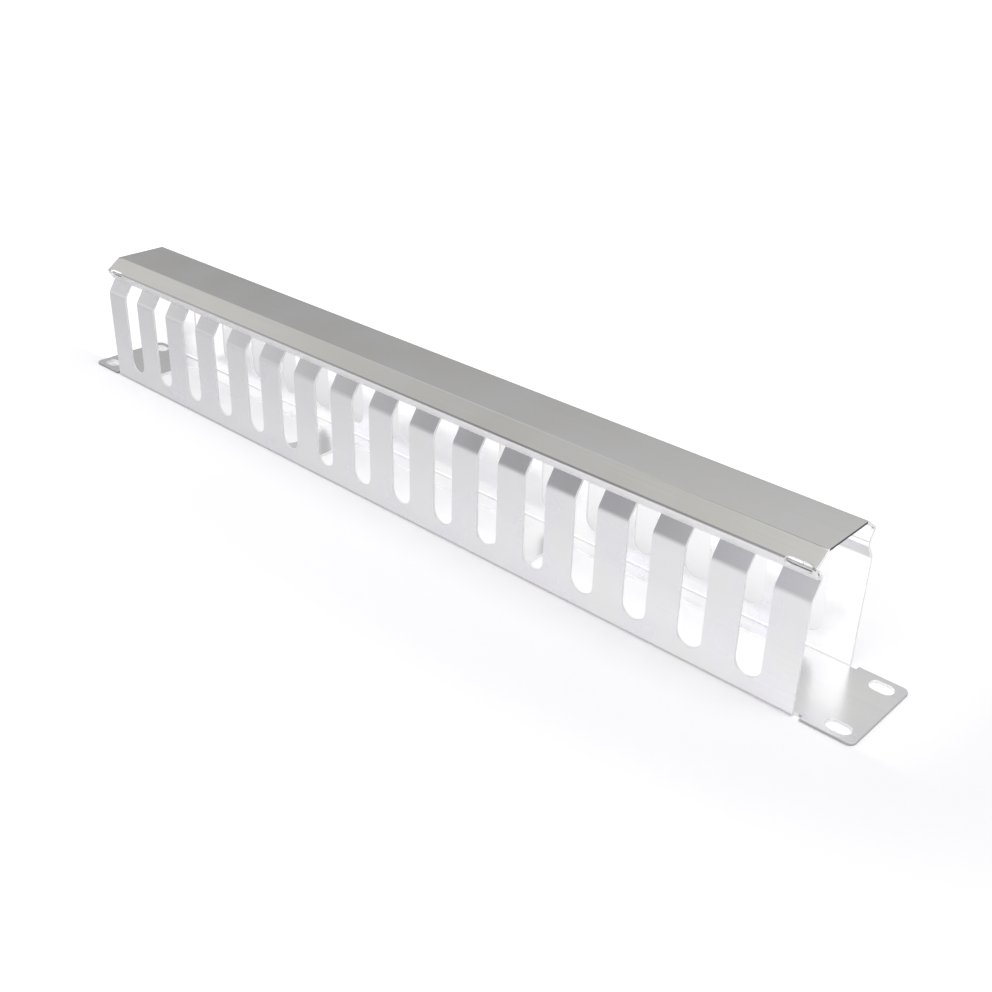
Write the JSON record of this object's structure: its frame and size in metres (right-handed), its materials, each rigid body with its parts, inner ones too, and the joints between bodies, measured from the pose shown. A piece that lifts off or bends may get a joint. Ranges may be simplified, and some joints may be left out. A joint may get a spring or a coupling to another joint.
{
  "type": "horizontal cable manager",
  "caption": "One rack unit horizontal cable manager: folded comb duct with slotted rack ears and back windows, closed by a clip-on V-lipped cover.",
  "frame": {"origin": "middle of the back face, at the centre of the part's footprint as it lies on its back", "axes": "+X along the duct towards one rack ear, +Y across the rack unit's height, +Z out of the rack through the cover"},
  "size_m": [0.4826, 0.0436, 0.067],
  "materials": {
    "duct_sheet": "satin zinc-plated sheet steel with bare bright cut edges",
    "cover_sheet": "satin zinc-plated sheet steel, slightly greyer top face"
  },
  "bodies": {
    "duct": {"duct_body": "duct_sheet"},
    "cover": {"cover": "cover_sheet"}
  },
  "joints": [
    {"name": "cover_slide", "type": "slide", "parent": "duct", "child": "cover", "axis": [1, 0, 0], "range_m": [-0.415, 0.415]}
  ]
}
